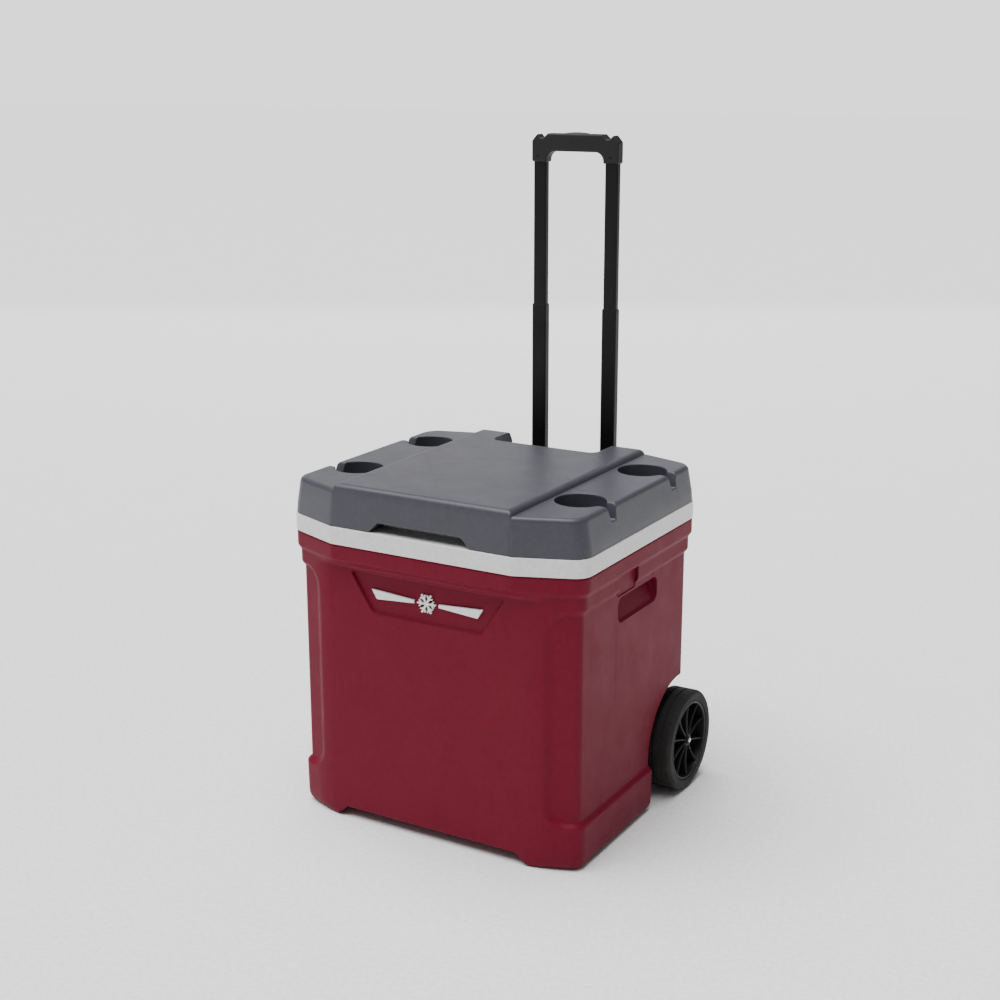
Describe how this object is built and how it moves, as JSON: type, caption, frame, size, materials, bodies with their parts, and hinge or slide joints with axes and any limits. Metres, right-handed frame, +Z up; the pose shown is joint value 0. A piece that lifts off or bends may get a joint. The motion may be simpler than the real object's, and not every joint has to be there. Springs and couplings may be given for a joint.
{
  "type": "rolling cooler",
  "caption": "Insulated picnic cooler with a hinged cup-holder lid, a telescoping pull handle and wheels at the rear.",
  "frame": {"origin": "bottom centre of the bounding box, on the floor under the box", "axes": "+Z up, the front of the box faces -Y, the pull handle stands at +Y, and +X is to the viewer's right when facing the front"},
  "size_m": [0.494, 0.456, 0.96],
  "materials": {
    "red_shell": "satin moulded",
    "white_liner": "satin moulded",
    "grey_lid": "satin moulded",
    "foam": "rigid foam",
    "black_plastic": "fine texture",
    "black_steel": "satin paint",
    "tyre": "matt",
    "bright_steel": "bright zinc plate",
    "badge": "satin"
  },
  "bodies": {
    "cooler": {"outer_shell": "red_shell", "foam_core": "foam", "inner_liner": "white_liner", "front_badge": "badge", "handle_outer_tube_left": "black_steel", "handle_outer_tube_right": "black_steel", "upper_bracket": "black_plastic", "lower_bracket": "black_plastic", "upper_bracket_screw_left": "bright_steel", "upper_bracket_screw_right": "bright_steel", "lower_bracket_screw_left": "bright_steel", "lower_bracket_screw_right": "bright_steel", "wheel_axle": "bright_steel", "axle_spacer_left": "black_plastic", "axle_spacer_right": "black_plastic", "push_nut_left": "black_steel", "push_nut_right": "black_steel", "hinge_body_leaf_left": "bright_steel", "hinge_body_leaf_right": "bright_steel", "hinge_pin_left": "bright_steel", "hinge_pin_right": "bright_steel"},
    "lid": {"lid_shell": "grey_lid", "lid_foam": "foam", "lid_liner": "white_liner", "hinge_lid_leaf_left": "bright_steel", "hinge_lid_leaf_right": "bright_steel"},
    "handle_lower": {"handle_lower_tube_left": "black_steel", "handle_lower_tube_right": "black_steel", "lower_guide_left": "black_plastic", "lower_guide_right": "black_plastic"},
    "handle_upper": {"handle_upper_tube_left": "black_steel", "handle_upper_tube_right": "black_steel", "lock_block_left": "black_plastic", "lock_block_right": "black_plastic", "grip_front": "black_plastic", "grip_rear": "black_plastic"},
    "release": {"release_button": "black_plastic", "release_yoke": "bright_steel"},
    "wheel_left": {"tyre_left": "tyre", "wheel_rim_left": "black_plastic"},
    "wheel_right": {"tyre_right": "tyre", "wheel_rim_right": "black_plastic"}
  },
  "joints": [
    {"name": "lid_hinge", "type": "hinge", "parent": "cooler", "child": "lid", "pos_m": [0, 0.1895, 0.441], "axis": [-1, 0, 0], "range_deg": [0, 59]},
    {"name": "handle_lower_slide", "type": "slide", "parent": "cooler", "child": "handle_lower", "axis": [0, 0, 1], "range_m": [-0.24, 0]},
    {"name": "handle_upper_slide", "type": "slide", "parent": "handle_lower", "child": "handle_upper", "axis": [0, 0, 1], "range_m": [-0.208, 0]},
    {"name": "release_press", "type": "slide", "parent": "handle_upper", "child": "release", "axis": [0, 0, -1], "range_m": [0, 0.004], "stiffness_N_per_m": 900, "springref_m": -0.003},
    {"name": "wheel_left_spin", "type": "hinge", "parent": "cooler", "child": "wheel_left", "pos_m": [-0.2245, 0.133, 0.0762], "axis": [1, 0, 0], "continuous": true},
    {"name": "wheel_right_spin", "type": "hinge", "parent": "cooler", "child": "wheel_right", "pos_m": [0.2245, 0.133, 0.0762], "axis": [1, 0, 0], "continuous": true}
  ]
}
